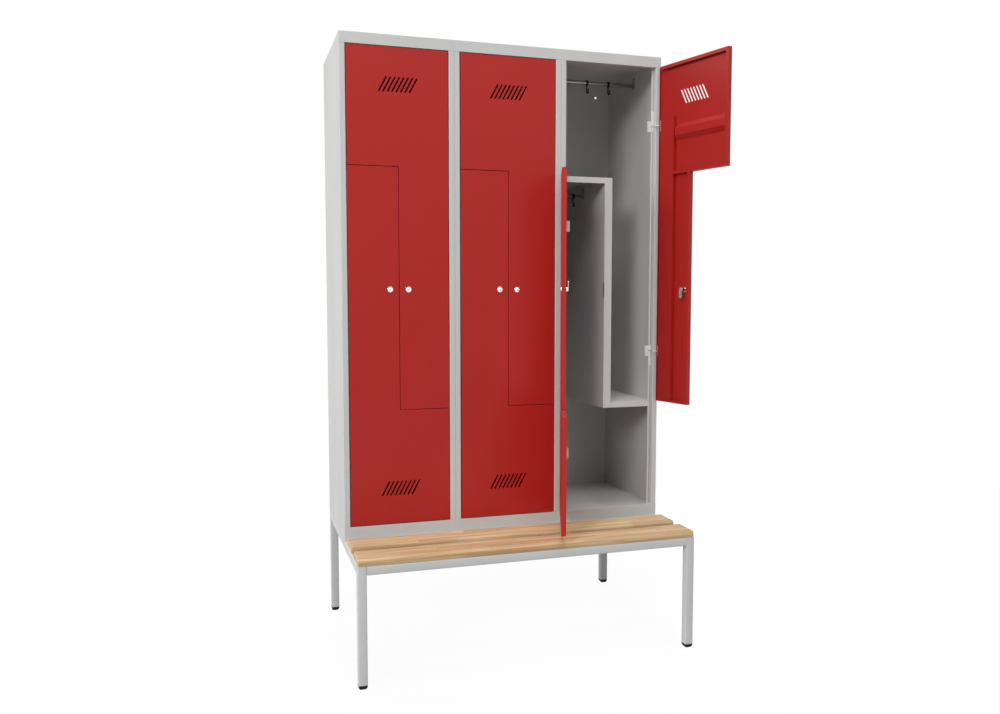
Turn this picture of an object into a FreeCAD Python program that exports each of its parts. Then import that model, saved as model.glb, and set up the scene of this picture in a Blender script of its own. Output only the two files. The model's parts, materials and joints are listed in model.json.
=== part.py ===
import FreeCAD
import Part
import math
import os

# Z-locker with a bench: three bays, each closed by two interlocking L-shaped doors.
# X runs to the viewer's right from the middle bay's centre, Y to the back from the front of the doors,
# and Z up from the floor, until the finished pieces move to their common origin. Millimetres.

V = FreeCAD.Vector
X_AXIS = V(1, 0, 0)
Y_AXIS = V(0, 1, 0)
Z_AXIS = V(0, 0, 1)

# Overall sizes
BAYS = 3
PITCH = 400.0
WIDTH = BAYS * PITCH
DEPTH = 480.0
SEAT_FRAME = 405.0
TOP = 2155.0
BENCH = 304.0
EPS = 1.0
FLATS = 8

# Sheet steel carcass
T = 1.0
STILE = 20.0
REBATE = 20.0
LIP = 9.0
NOSE_R = 2.5
SEAM = 0.8
SEAM_DEEP = 0.6
FASCIA_Z = TOP - 38.0
SILL_Z = SEAT_FRAME + 50.0
FLOOR_Z = SILL_Z - 8.0
HALF = PITCH / 2
JAMB = HALF - STILE
INNER = HALF - T
BACK = DEPTH - T

# Doors: both doors of a bay are one design, turned half a turn about the bay's centre
GAP = 2.0
REVEAL = 3.0
DOOR_HALF = JAMB - REVEAL
DOOR_TOP = FASCIA_Z - REVEAL
DOOR_BOTTOM = SILL_Z + REVEAL
MID_Z = (DOOR_TOP + DOOR_BOTTOM) / 2
SPLIT = 424.0
PAN = 17.0
RIM = 12.0
HINGE_FLANGE = 8.0
HINGE_CLEAR = 14.0
EDGE = 0.8

# Ventilation slots
SLOTS = 8
SLOT_PITCH = 15.3
SLOT_LENGTH = 58.0
SLOT_WIDTH = 5.6
SLOT_LEAN = 28.3
SLOT_Z = DOOR_TOP - 126.0

# Stiffeners inside the doors
HAT_NEAR = 16.0
HAT_WIDTH = 70.0
HAT_DEPTH = 15.0
HAT_FOOT = 4.0
HAT_TOP = 1921.0
CROSS_Z = 1864.0
CROSS_BASE = 30.0
CROSS_CROWN = 12.5
CROSS_DEPTH = 13.0

# Goose-neck hinges: the pin stands inside the hollow stile
PIN_X = JAMB + 10.0
PIN_Y = 6.0
PIN_R = 2.0
RUN_FIT = 0.05
HUB_R = 4.2
NECK_IN = 14.6
NECK_OUT = 18.5
NECK_START = 66.0
NECK_END = 205.0
NECK_BENDS = 3
SPOKE_ANGLE = 72.0
SPOKE_WIDTH = 4.0
ARM_T = 3.0
LEAF_HIGH = 40.0
LEAF_WIDE = 9.0
LEAF_T = 2.0
HINGE_Z = (1901.0, 1052.0)
SLIT_HIGH = 10.0
SLIT_FROM = 2.6
LUG_T = 2.0
LUG_GAP = 0.5
PLATE_T = 1.5
PLATE_WIDE = 24.0
STRIP_LONG = 57.0
OPEN_LOWER_3 = 110.0
OPEN_UPPER_3 = 105.0

# Cylinder locks
LOCK_X = 32.5
LOCK_Z = MID_Z
HEAD_R = 10.0
HEAD_PROUD = 2.5
BARREL_R = 8.5
HEAD_SIDES = 12
BARREL_END = 22.5
PLUG_R = 3.5
PLUG_PROUD = 3.0
CAM_T = 2.5
CAM_WIDE = 14.0
CAM_REACH = 31.0
KEY_LONG = 4.6
KEY_WIDE = 1.4
KEY_DEEP = 4.0

# Z-shaped divider
DIVIDER = 30.0
SHELF_TOP = MID_Z + SPLIT - 6.0
LOW_SHELF_TOP = MID_Z - SPLIT - 4.0
SHELF_NOSE = 21.0
SHELF_RETURN = 12.0
CAM_SLOT_HIGH = 58.0
CAM_SLOT_DEEP = 12.0

# Coat rails and hooks
RAIL_R = 7.0
RAIL_Y = 232.0
RAIL_Z = 2098.0
LOW_RAIL_Z = 1655.0
RAIL_PLATE_LONG = 45.0
RAIL_PLATE_BELOW = 12.0
RAIL_PLATE_HALF = 12.0
RAIL_PLATE_T = 2.0
HOOK_FIT = 0.35
HOOK_WALL = 2.8
HOOK_WIDE = 8.0
HOOK_DROP = 24.0
HOOK_BEND = 8.0
HOOK_ROD = 2.4
EYE_SIDES = 12
UPPER_HOOKS = (-4.0, 87.0)
LOWER_HOOK = -59.0

# Bench
TUBE = 30.0
TUBE_WALL = 2.0
TUBE_EDGE = 2.0
FOOT_HIGH = 15.0
FOOT_PLATE = 2.0
FOOT_TOP = 14.0
FOOT_BOTTOM = 11.0
SLAT_T = 22.0
SLAT_WIDE = 110.0
SLAT_GAP = 39.0
SLAT_R = 5.0
SLAT_END = 4.0

# Wall-fixing holes in the back
FIX_R = 4.5
FIX_X = WIDTH / 2 - 61.0
FIX_Z = 2099.0


def box(x0, x1, y0, y1, z0, z1):
    return Part.makeBox(x1 - x0, y1 - y0, z1 - z0, V(x0, y0, z0))


def face(points):
    return Part.Face(Part.makePolygon(points + points[:1]))


def prism_z(points, z0, z1):
    return face([V(x, y, z0) for x, y in points]).extrude(V(0, 0, z1 - z0))


def prism_x(points, x0, x1):
    return face([V(x0, y, z) for y, z in points]).extrude(V(x1 - x0, 0, 0))


def prism_y(points, y0, y1):
    return face([V(x, y0, z) for x, z in points]).extrude(V(0, y1 - y0, 0))


def square(x, y, half, z):
    corners = [(-half, -half), (half, -half), (half, half), (-half, half), (-half, -half)]
    return Part.makePolygon([V(x + dx, y + dy, z) for dx, dy in corners])


def polar(x, y, r, degrees):
    a = math.radians(degrees)
    return (x + r * math.cos(a), y + r * math.sin(a))


def ring(x, y, flat_r, sides=FLATS):
    """Corners of a regular outline whose flats lie flat_r from its centre."""
    r = flat_r / math.cos(math.pi / sides)
    return [polar(x, y, r, (i + 0.5) * 360 / sides) for i in range(sides)]


def rod(r, start, axis, length):
    return Part.makeCylinder(r, length, start, axis)


def rounded(shape, radius, chosen):
    edges = [e for e in shape.Edges if all(chosen(v.Point) for v in e.Vertexes)]
    return shape.makeFillet(radius, edges)


def moved(shape, x):
    copy = shape.copy()
    copy.translate(V(x, 0, 0))
    return copy


def half_turn(shape):
    """The same piece for a lower door: turned half a turn about the bay's centre."""
    copy = shape.copy()
    copy.rotate(V(0, 0, MID_Z), Y_AXIS, 180)
    return copy


def mirrored(shape):
    return shape.mirror(V(0, 0, 0), X_AXIS)


def bay_x(n):
    return (n - (BAYS - 1) / 2) * PITCH


nodes = {}


def save(name, *solids):
    nodes[name] = solids[0] if len(solids) == 1 else Part.Compound(list(solids))


def near(a, b):
    return abs(a - b) < 0.01


def side_sheet(end):
    """A bay's right side sheet; an end sheet stands on the bench frame, with a flange folded in under it."""
    low = SEAT_FRAME if end else FLOOR_Z
    sheet = box(INNER, HALF, T, BACK, low, TOP - T)
    if end:
        return sheet.fuse(box(JAMB, INNER, REBATE + T, BACK - T, low, low + T)).removeSplitter()
    for z0, z1 in ((low - EPS, SILL_Z), (FASCIA_Z, TOP)):
        sheet = sheet.cut(box(INNER - EPS, HALF + EPS, -EPS, REBATE + T, z0, z1))
    return sheet


def hinge_slits(heights):
    """Where the hinge arms pass through a stile's jamb and stop lip."""
    x0 = JAMB - LIP - EPS
    x1 = JAMB + T + EPS / 2
    y1 = REBATE + T + EPS
    half = SLIT_HIGH / 2
    slits = [box(x0, x1, SLIT_FROM, y1, z - half, z + half) for z in heights]
    return Part.Compound(slits)


def stile(slit_heights):
    """Folded channel in front of a side sheet: weld leg, front face, door rebate and stop lip.

    Its outer edge and its two ends are eased where it meets the next sheet, which shows as a fine seam.
    """
    profile = [
        (JAMB - LIP, REBATE),
        (JAMB, REBATE),
        (JAMB, 0),
        (HALF, 0),
        (HALF, T),
        (INNER, T),
        (INNER, REBATE),
        (INNER - T, REBATE),
        (INNER - T, T),
        (JAMB + T, T),
        (JAMB + T, REBATE + T),
        (JAMB - LIP, REBATE + T),
    ]
    channel = prism_z(profile, SILL_Z, FASCIA_Z)
    channel = rounded(channel, NOSE_R, lambda p: near(p.x, JAMB) and near(p.y, 0))
    seam = [e for e in channel.Edges if all(near(v.X, HALF) and near(v.Y, 0) for v in e.Vertexes)]
    channel = channel.makeChamfer(SEAM, seam).cut(hinge_slits(slit_heights))
    for z0, z1 in ((SILL_Z - EPS, SILL_Z + SEAM), (FASCIA_Z - SEAM, FASCIA_Z + EPS)):
        channel = channel.cut(box(JAMB - EPS, HALF + EPS, -EPS, SEAM_DEEP, z0, z1))
    return channel


LOW_HINGE_Z = tuple(2 * MID_Z - z for z in HINGE_Z)


def at_bay(shape, n, left):
    """Moves a right-hand wall piece into bay n, mirrored for the left."""
    return moved(mirrored(shape) if left else shape, bay_x(n))


def ell(inset, hinge_inset):
    """Outline of an upper door, all its edges moved in by inset and its hinge edge by hinge_inset."""
    right = DOOR_HALF - hinge_inset
    left = -DOOR_HALF + inset
    leg = GAP / 2 + inset
    step = MID_Z + SPLIT + GAP / 2 + inset
    bottom = MID_Z - SPLIT + GAP / 2 + inset
    top = DOOR_TOP - inset
    return [(right, bottom), (right, top), (left, top), (left, step), (leg, step), (leg, bottom)]


def vent(x):
    """One leaning slot through the skin of a door."""
    half = SLOT_LENGTH / 2
    r = SLOT_WIDTH / 2
    slot = box(-r, r, -EPS, T + EPS, -half, half)
    slot.rotate(V(0, 0, 0), Y_AXIS, SLOT_LEAN)
    slot.translate(V(x, 0, SLOT_Z))
    return slot


def lock_barrel(y0, y1):
    """The barrel's outline with its flats, as solid and as hole."""
    return prism_y(ring(LOCK_X, LOCK_Z, BARREL_R), y0, y1)


def door_pan():
    """Folded door tray: L-shaped skin, flanges all round, return rims on every edge but the hinge edge."""
    pan = prism_y(ell(0, 0), 0, PAN)
    front = [e for e in pan.Edges if all(near(v.Y, 0) for v in e.Vertexes)]
    pan = pan.makeChamfer(EDGE, front)
    pan = pan.cut(prism_y(ell(T, T), T, PAN - T))
    pan = pan.cut(prism_y(ell(RIM, T), PAN - T - EPS, PAN + EPS))
    pan = pan.cut(box(DOOR_HALF - HINGE_CLEAR, DOOR_HALF + EPS, HINGE_FLANGE, PAN + EPS, 0, TOP))
    for i in range(SLOTS):
        pan = pan.cut(vent((i - (SLOTS - 1) / 2) * SLOT_PITCH))
    return pan.cut(lock_barrel(-EPS, PAN))


def upright_hat():
    """Channel along the hinge side of a door."""
    right = DOOR_HALF - HAT_NEAR
    left = right - HAT_WIDTH
    crown = HAT_DEPTH
    profile = [
        (right + HAT_FOOT, T),
        (right + HAT_FOOT, 2 * T),
        (right, 2 * T),
        (right, crown),
        (left, crown),
        (left, 2 * T),
        (left - HAT_FOOT, 2 * T),
        (left - HAT_FOOT, T),
        (left + T, T),
        (left + T, crown - T),
        (right - T, crown - T),
        (right - T, T),
    ]
    bottom = MID_Z - SPLIT + GAP + RIM
    return prism_z(profile, bottom, HAT_TOP)


def cross_hat():
    """Sloped channel across the wide part of a door."""
    x0 = -DOOR_HALF + RIM + GAP
    x1 = DOOR_HALF - HAT_NEAR - HAT_WIDTH - HAT_FOOT - GAP
    outer = [
        (T, CROSS_Z - CROSS_BASE),
        (T + CROSS_DEPTH, CROSS_Z - CROSS_CROWN),
        (T + CROSS_DEPTH, CROSS_Z + CROSS_CROWN),
        (T, CROSS_Z + CROSS_BASE),
    ]
    slant = math.hypot(CROSS_DEPTH, CROSS_BASE - CROSS_CROWN) / CROSS_DEPTH * T
    rise = (CROSS_BASE - CROSS_CROWN) / CROSS_DEPTH * T
    base = CROSS_BASE - slant
    crown = CROSS_CROWN + rise - slant
    inner = [
        (T, CROSS_Z - base),
        (CROSS_DEPTH, CROSS_Z - crown),
        (CROSS_DEPTH, CROSS_Z + crown),
        (T, CROSS_Z + base),
    ]
    return prism_x(outer, x0, x1).cut(prism_x(inner, x0 - EPS, x1 + EPS))


def step_strut():
    """Angle that carries the step's flange and rim on to the upright channel."""
    leg = GAP / 2
    step = MID_Z + SPLIT + GAP / 2
    end = DOOR_HALF - HAT_NEAR - HAT_WIDTH
    web = box(leg + T, end, 2 * T, PAN - T, step, step + T)
    lip = box(leg + RIM, end, PAN - T, PAN, step, step + RIM)
    return web.fuse(lip).removeSplitter()


def hinge_arm(z, pan):
    """Goose-neck: a flat arm that leaves its pin backwards and bends round the stile's nose to the door."""
    z0 = z - ARM_T / 2
    pin = V(PIN_X, PIN_Y, z0)
    turn = (NECK_END - NECK_START) / NECK_BENDS
    bends = [NECK_START + i * turn for i in range(NECK_BENDS + 1)]
    outline = [polar(PIN_X, PIN_Y, NECK_IN, a) for a in bends]
    outline += [polar(PIN_X, PIN_Y, NECK_OUT, a) for a in reversed(bends)]
    neck = prism_z(outline, z0, z0 + ARM_T)
    length = (NECK_IN + NECK_OUT) / 2
    spoke = Part.makeBox(length, SPOKE_WIDTH, ARM_T, V(0, -SPOKE_WIDTH / 2, 0))
    spoke.rotate(V(0, 0, 0), Z_AXIS, SPOKE_ANGLE)
    spoke.translate(pin)
    hub = prism_z(ring(PIN_X, PIN_Y, HUB_R), z0, z0 + ARM_T)
    eye = prism_z(ring(PIN_X, PIN_Y, PIN_R + RUN_FIT), z0, z0 + ARM_T)
    edge = DOOR_HALF - T
    half = LEAF_HIGH / 2
    leaf = box(edge - LEAF_WIDE, edge, T, T + LEAF_T, z - half, z + half)
    arm = neck.fuse(spoke).fuse(hub).fuse(leaf)
    arm = arm.cut(eye).cut(pan)
    below_skin = box(0, HALF, -HALF, T, z - half, z + half)
    return arm.cut(below_skin).removeSplitter()


def hinge_bracket(z, side):
    """Fixed half of a hinge: plate on the stop lip, and two lugs through the slit that hold the pin."""
    y0 = REBATE - PLATE_T
    half = LEAF_HIGH / 2
    plate = box(JAMB - PLATE_WIDE, JAMB, y0, REBATE, z - half, z + half)
    low, high = sorted((z, z + side * STRIP_LONG))
    tail = box(JAMB - LIP, JAMB, y0, REBATE, low, high)
    gap = ARM_T / 2 + LUG_GAP
    slot = gap + LUG_T
    bracket = plate.fuse(tail)
    bracket = bracket.cut(box(JAMB - LIP - EPS, JAMB + EPS, y0 - EPS, REBATE + EPS, z - slot, z + slot))
    outline = [
        (JAMB - LIP - EPS, y0),
        (JAMB + T + EPS / 2, y0),
        (PIN_X - HUB_R, PIN_Y),
        (PIN_X - PIN_R, PIN_Y - HUB_R),
        (PIN_X + PIN_R, PIN_Y - HUB_R),
        (PIN_X + HUB_R, PIN_Y),
        (PIN_X + HUB_R, REBATE),
        (JAMB - LIP - EPS, REBATE),
    ]
    for z0 in (z + gap, z - slot):
        bracket = bracket.fuse(prism_z(outline, z0, z0 + LUG_T))
    bracket = bracket.fuse(rod(PIN_R, V(PIN_X, PIN_Y, z - gap), Z_AXIS, 2 * gap))
    return bracket.removeSplitter()


def lock_body():
    """Lock housing: head outside the skin and a barrel with flats through it."""
    head = prism_y(ring(LOCK_X, LOCK_Z, HEAD_R, HEAD_SIDES), -HEAD_PROUD, 0)
    bore = prism_y(ring(LOCK_X, LOCK_Z, PLUG_R + RUN_FIT), -PAN, 2 * PAN)
    return head.fuse(lock_barrel(0, BARREL_END)).removeSplitter().cut(bore)


def lock_cam():
    """Turning plug with its key slot, and the flat cam on its inner end, hanging down when unlocked."""
    plug = rod(PLUG_R, V(LOCK_X, -PLUG_PROUD, LOCK_Z), Y_AXIS, PLUG_PROUD + BARREL_END + T / 2)
    half = KEY_LONG / 2
    w = KEY_WIDE / 2
    key = box(LOCK_X - w, LOCK_X + w, -PLUG_PROUD - EPS, KEY_DEEP - PLUG_PROUD, LOCK_Z - half, LOCK_Z + half)
    y0 = BARREL_END + T / 2
    r = CAM_WIDE / 2
    tongue = box(LOCK_X - r, LOCK_X + r, y0, y0 + CAM_T, LOCK_Z - CAM_REACH, LOCK_Z + r)
    return plug.cut(key).fuse(tongue).removeSplitter()


def top_cap():
    """Roof sheet with the front fascia and its return."""
    cap = box(-WIDTH / 2, WIDTH / 2, 0, DEPTH, TOP - T, TOP)
    cap = cap.fuse(box(-WIDTH / 2, WIDTH / 2, 0, T, FASCIA_Z, TOP - T))
    side = WIDTH / 2 - T
    cap = cap.fuse(box(-side, side, T, REBATE, FASCIA_Z, FASCIA_Z + T)).removeSplitter()
    return rounded(cap, T, lambda p: near(p.y, 0) and near(p.z, TOP))


def base_tray():
    """Floor sheet, folded up to the sill and down over the front."""
    profile = [
        (0, SEAT_FRAME),
        (0, SILL_Z),
        (REBATE, SILL_Z),
        (REBATE, FLOOR_Z),
        (BACK - T, FLOOR_Z),
        (BACK - T, FLOOR_Z - T),
        (REBATE - T, FLOOR_Z - T),
        (REBATE - T, SILL_Z - T),
        (T, SILL_Z - T),
        (T, SEAT_FRAME + T),
        (REBATE, SEAT_FRAME + T),
        (REBATE, SEAT_FRAME),
    ]
    side = WIDTH / 2 - T
    tray = prism_x(profile, -side, side)
    return tray.fuse(box(-WIDTH / 2, WIDTH / 2, 0, T, SEAT_FRAME, SILL_Z)).removeSplitter()


def back_panel():
    back = box(-WIDTH / 2, WIDTH / 2, BACK, DEPTH, SEAT_FRAME, TOP - T)
    for x in (-FIX_X, FIX_X):
        back = back.cut(rod(FIX_R, V(x, BACK - EPS, FIX_Z), Y_AXIS, T + 2 * EPS))
    return back


SHELF_Y = REBATE + T
SHELF_BACK = BACK - T


def shelf(top, x0, x1):
    """Shelf sheet with a folded front and its return."""
    low = top - SHELF_NOSE
    profile = [
        (SHELF_Y, low),
        (SHELF_Y, top),
        (SHELF_BACK, top),
        (SHELF_BACK, top - T),
        (SHELF_Y + T, top - T),
        (SHELF_Y + T, low + T),
        (SHELF_Y + SHELF_RETURN, low + T),
        (SHELF_Y + SHELF_RETURN, low),
    ]
    return prism_x(profile, x0, x1)


def upper_shelf():
    cap = box(-DIVIDER / 2, DIVIDER / 2, SHELF_Y, SHELF_BACK, SHELF_TOP - T, SHELF_TOP)
    return shelf(SHELF_TOP, -INNER, -DIVIDER / 2).fuse(cap).removeSplitter()


def upright():
    """Hollow divider wall, open at the back, with slots for the lock cams."""
    w = DIVIDER / 2
    profile = [
        (-w, SHELF_Y),
        (w, SHELF_Y),
        (w, SHELF_BACK),
        (w - T, SHELF_BACK),
        (w - T, SHELF_Y + T),
        (T - w, SHELF_Y + T),
        (T - w, SHELF_BACK),
        (-w, SHELF_BACK),
    ]
    low = LOW_SHELF_TOP - SHELF_NOSE
    wall = prism_z(profile, low, SHELF_TOP - T)
    wall = wall.fuse(box(-w, w, SHELF_Y, SHELF_BACK, low, low + T)).removeSplitter()
    half = CAM_SLOT_HIGH / 2
    y0 = SHELF_Y + T
    return wall.cut(box(-w - EPS, w + EPS, y0, y0 + CAM_SLOT_DEEP, MID_Z - half, MID_Z + half))


def lower_shelf():
    return shelf(LOW_SHELF_TOP, DIVIDER / 2, INNER)


def coat_rail(x0, x1, z):
    return rod(RAIL_R, V(x0, RAIL_Y, z), X_AXIS, x1 - x0)


def rail_plate(x, side, z):
    """Plate on a wall at x that carries a rail's end; side points into the compartment."""
    lo, hi = sorted((x, x + side * RAIL_PLATE_T))
    z0 = z - RAIL_PLATE_BELOW
    return box(lo, hi, RAIL_Y - RAIL_PLATE_HALF, RAIL_Y + RAIL_PLATE_HALF, z0, z0 + RAIL_PLATE_LONG)


def coat_hook(x, z):
    """Moulded sliding hook: an eye round the rail, and a stem bent up to a tip that faces the front."""
    eye_r = RAIL_R + HOOK_FIT
    outer = eye_r + HOOK_WALL
    bend = -outer - HOOK_DROP
    inside = HOOK_BEND - HOOK_ROD
    outside = HOOK_BEND + HOOK_ROD
    heel = outside / 2
    toe = inside / 2
    hook_line = [
        (HOOK_ROD, -eye_r),
        (HOOK_ROD, bend - heel),
        (HOOK_ROD - heel, bend - outside),
        (heel - HOOK_BEND - outside, bend - outside),
        (-HOOK_BEND - outside, bend - heel),
        (-HOOK_BEND - outside, bend + HOOK_BEND),
        (-HOOK_BEND - inside, bend + HOOK_BEND),
        (-HOOK_BEND - inside, bend - toe),
        (toe - HOOK_BEND - inside, bend - inside),
        (-HOOK_ROD - toe, bend - inside),
        (-HOOK_ROD, bend - toe),
        (-HOOK_ROD, -eye_r),
    ]
    half = HOOK_WIDE / 2
    hook = prism_x(hook_line, -half, half).fuse(prism_x(ring(0, 0, outer, EYE_SIDES), -half, half))
    hook = hook.cut(prism_x(ring(0, 0, eye_r, EYE_SIDES), -half, half)).removeSplitter()
    hook.translate(V(x, RAIL_Y, z))
    return hook


def tube(x0, x1, y0, y1, z0, z1, along):
    """Square tube with eased edges, hollow along the named axis."""
    outer = box(x0, x1, y0, y1, z0, z1)
    axis = "xyz".index(along)
    runs = [e for e in outer.Edges if near(abs(e.tangentAt(e.FirstParameter)[axis]), 1)]
    outer = outer.makeChamfer(TUBE_EDGE, runs)
    wall = [0 if i == axis else TUBE_WALL for i in range(3)]
    core = box(x0 + wall[0], x1 - wall[0], y0 + wall[1], y1 - wall[1], z0 + wall[2], z1 - wall[2])
    return outer.cut(core)


def foot(x, y):
    """Plastic glide under a leg: a plate under the tube's end and a tapered pad."""
    half = TUBE / 2
    top = FOOT_HIGH - FOOT_PLATE
    plate = box(x - half, x + half, y - half, y + half, top, FOOT_HIGH)
    ends = [square(x, y, FOOT_BOTTOM, 0), square(x, y, FOOT_TOP, top)]
    return plate.fuse(Part.makeLoft(ends, True, True)).removeSplitter()


def slat(y0):
    half = WIDTH / 2 - SLAT_END
    board = box(-half, half, y0, y0 + SLAT_WIDE, SEAT_FRAME, SEAT_FRAME + SLAT_T)
    top = SEAT_FRAME + SLAT_T
    return rounded(board, SLAT_R, lambda p: near(p.z, top) and (near(p.y, y0) or near(p.y, y0 + SLAT_WIDE)))


# Carcass
save("side_left", at_bay(side_sheet(True), 0, True))
save("side_right", at_bay(side_sheet(True), BAYS - 1, False))
for n in range(1, BAYS):
    save("partition_%d" % n, at_bay(side_sheet(False), n - 1, False), at_bay(side_sheet(False), n, True))
stiles = []
for n in range(BAYS):
    stiles += [at_bay(stile(LOW_HINGE_Z), n, True), at_bay(stile(HINGE_Z), n, False)]
save("stiles", *stiles)
save("back_panel", back_panel())
save("top_cap", top_cap())
save("base_tray", base_tray())

# Dividers, rails and rail plates
divider = DIVIDER / 2
save("upper_shelves", *[moved(upper_shelf(), bay_x(n)) for n in range(BAYS)])
save("uprights", *[moved(upright(), bay_x(n)) for n in range(BAYS)])
save("lower_shelves", *[moved(lower_shelf(), bay_x(n)) for n in range(BAYS)])
rail_end = INNER - RAIL_PLATE_T
low_end = divider + RAIL_PLATE_T
save("upper_rails", *[moved(coat_rail(-rail_end, rail_end, RAIL_Z), bay_x(n)) for n in range(BAYS)])
save("lower_rails", *[moved(coat_rail(-rail_end, -low_end, LOW_RAIL_Z), bay_x(n)) for n in range(BAYS)])
plates = [
    rail_plate(-INNER, 1, RAIL_Z),
    rail_plate(INNER, -1, RAIL_Z),
    rail_plate(-INNER, 1, LOW_RAIL_Z),
    rail_plate(-divider, -1, LOW_RAIL_Z),
]
save("rail_plates", *[moved(s, bay_x(n)) for n in range(BAYS) for s in plates])

# Hinges: the fixed halves
brackets = [hinge_bracket(HINGE_Z[0], 1), hinge_bracket(HINGE_Z[1], -1)]
brackets += [half_turn(b) for b in brackets]
save("hinge_brackets", *[moved(b, bay_x(n)) for n in range(BAYS) for b in brackets])

# Doors, each with its stiffeners, hinge arms, lock and cam
pan = door_pan()
arms = [hinge_arm(z, pan) for z in HINGE_Z]
pieces = {
    "pan": [pan],
    "stiffeners": [upright_hat(), cross_hat(), step_strut()],
    "hinge_arms": arms,
    "lock": [lock_body()],
    "cam": [lock_cam()],
}


def place_door(shape, n, lower, angle):
    """Puts a closed upper-door piece into bay n, as upper or lower door, opened by angle."""
    copy = half_turn(shape) if lower else shape.copy()
    copy.translate(V(bay_x(n), 0, 0))
    pin_x = bay_x(n) - PIN_X if lower else bay_x(n) + PIN_X
    if angle:
        copy.rotate(V(pin_x, PIN_Y, 0), Z_AXIS, -angle if lower else angle)
    return copy


for n in range(BAYS):
    last = n == BAYS - 1
    for kind, lower, angle in (("upper", False, OPEN_UPPER_3), ("lower", True, OPEN_LOWER_3)):
        for piece, shapes in pieces.items():
            placed = [place_door(s, n, lower, angle if last else 0) for s in shapes]
            save("door_%d_%s_%s" % (n + 1, kind, piece), *placed)

# Sliding hooks
for n in range(BAYS):
    for i, x in enumerate(UPPER_HOOKS):
        save("hook_%d_upper_%d" % (n + 1, i + 1), coat_hook(bay_x(n) + x, RAIL_Z))
    save("hook_%d_lower" % (n + 1), coat_hook(bay_x(n) + LOWER_HOOK, LOW_RAIL_Z))

# Bench frame, feet and slats
side = WIDTH / 2
leg_x = (-side, side - TUBE)
leg_y = (-BENCH, DEPTH - TUBE)
save("legs", *[tube(x, x + TUBE, y, y + TUBE, FOOT_HIGH, SEAT_FRAME, "z") for x in leg_x for y in leg_y])
rail_low = SEAT_FRAME - TUBE
save("front_rail", tube(TUBE - side, side - TUBE, -BENCH, TUBE - BENCH, rail_low, SEAT_FRAME, "x"))
cross = [tube(TUBE - side, side - TUBE, y, y + TUBE, rail_low, SEAT_FRAME, "x") for y in (0, DEPTH - TUBE)]
save("cross_rails", *cross)
save("side_rails", *[tube(x, x + TUBE, TUBE - BENCH, DEPTH - TUBE, rail_low, SEAT_FRAME, "y") for x in leg_x])
save("feet", *[foot(x + TUBE / 2, y + TUBE / 2) for x in leg_x for y in leg_y])
save("bench_slats", slat(-BENCH), slat(SLAT_WIDE + SLAT_GAP - BENCH))

# The origin is on the floor, in the middle of the ground that the locker covers with its two doors open
covered = Part.Compound(list(nodes.values())).BoundBox
to_origin = V(-covered.Center.x, -covered.Center.y, 0)
print("moved by", to_origin)
os.makedirs("parts", exist_ok=True)
for name, shape in nodes.items():
    shape.translate(to_origin)
    shape.exportStep("parts/" + name + ".step")
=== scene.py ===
# %% [markdown]
# # A changing-room locker with a bench
# The locker is folded from painted sheet steel: a pale grey carcass, and six red doors shaped like
# an L that interlock in pairs. It stands on a tube frame whose front carries a beech seat. The
# construction model already holds every sheet, hinge and tube at its real size, so this lesson
# adds the finishes, the rounded small pieces, the light and the camera.

import json
import math

import bmesh
import bpy
from mathutils import Matrix, Vector

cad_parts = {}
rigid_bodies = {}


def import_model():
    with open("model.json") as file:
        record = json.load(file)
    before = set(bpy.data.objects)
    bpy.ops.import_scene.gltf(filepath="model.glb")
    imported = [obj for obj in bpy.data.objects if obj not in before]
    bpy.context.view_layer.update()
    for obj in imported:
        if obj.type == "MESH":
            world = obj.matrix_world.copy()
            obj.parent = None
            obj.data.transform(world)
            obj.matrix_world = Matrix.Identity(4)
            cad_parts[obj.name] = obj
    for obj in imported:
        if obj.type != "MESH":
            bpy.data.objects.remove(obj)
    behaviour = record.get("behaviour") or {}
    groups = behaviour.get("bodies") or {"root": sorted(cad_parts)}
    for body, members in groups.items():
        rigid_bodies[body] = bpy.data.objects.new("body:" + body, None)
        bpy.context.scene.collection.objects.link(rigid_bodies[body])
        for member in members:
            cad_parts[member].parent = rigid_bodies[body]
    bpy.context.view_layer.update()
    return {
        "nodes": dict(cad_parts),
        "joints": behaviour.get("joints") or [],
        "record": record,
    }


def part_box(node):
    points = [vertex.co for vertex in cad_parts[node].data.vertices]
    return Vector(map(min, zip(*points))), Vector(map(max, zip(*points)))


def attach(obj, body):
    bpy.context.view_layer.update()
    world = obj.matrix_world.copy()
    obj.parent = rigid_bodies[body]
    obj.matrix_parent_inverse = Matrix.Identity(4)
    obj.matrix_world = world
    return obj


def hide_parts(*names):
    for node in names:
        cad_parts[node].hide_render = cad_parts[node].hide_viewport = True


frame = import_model()
print(len(frame["nodes"]), "nodes")

# %% [markdown]
# ## Where things are
# The model's origin lies under the middle of everything, open doors included. A locker is easier
# to think of from the middle of its front edge, so that point is called the datum. It could be
# typed in, but measured on the roof sheet it stays right when the construction model changes.

# %% Measure the datum
ROOF_LOW, ROOF_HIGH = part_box("top_cap")
DATUM = Vector(((ROOF_LOW.x + ROOF_HIGH.x) / 2, ROOF_LOW.y, 0))
BAYS = 3
PITCH = (ROOF_HIGH.x - ROOF_LOW.x) / BAYS
MM = 0.001
print("datum", tuple(round(v, 4) for v in DATUM), "bay pitch", round(PITCH, 4))

# %% [markdown]
# ## Camera
# The picture was taken from the left, a little above the middle of the doors. A camera could be
# pushed about by eye until the outlines agree. The picture's straight edges give its place, turn
# and focal length more exactly, so those are written here. The lens is for a 36 mm wide sensor.

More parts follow.
